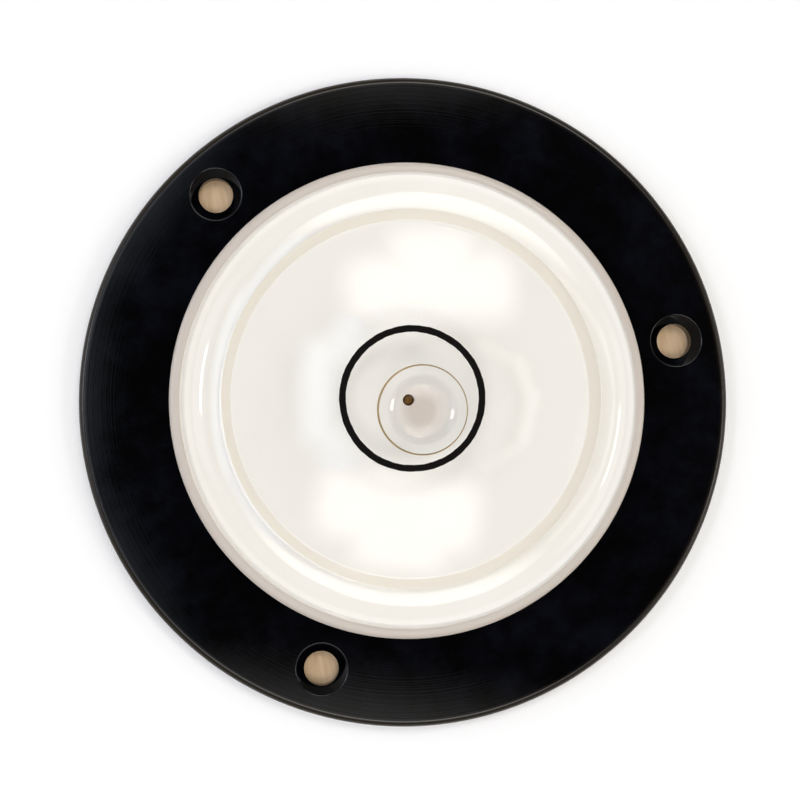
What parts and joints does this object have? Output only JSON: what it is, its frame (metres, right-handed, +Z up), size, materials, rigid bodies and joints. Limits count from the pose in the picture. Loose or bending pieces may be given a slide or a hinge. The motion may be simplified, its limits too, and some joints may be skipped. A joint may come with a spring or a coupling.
{
  "type": "bullseye level",
  "caption": "Round spirit level on a flat screw-down flange: a white cup and a clear domed window hold spirit and a bubble that centres in a black circle.",
  "frame": {"origin": "centre of the flange's underside, on the surface that the level is screwed to", "axes": "+Z up through the window; +X from the centre through the first mounting hole"},
  "size_m": [0.06, 0.06, 0.0091],
  "materials": {
    "flange_black": "black anodised, satin",
    "cup_white": "moulded white",
    "lens_clear": "clear moulded acrylic, polished",
    "circle_black": "black paint in a groove",
    "spirit_clear": "clear liquid",
    "plug_brass": "dull brass"
  },
  "bodies": {
    "root": {"flange_ring": "flange_black", "vial_cup": "cup_white", "dome_lens": "lens_clear", "level_circle": "circle_black", "spirit_fill": "spirit_clear", "fill_plug": "plug_brass"}
  },
  "joints": []
}
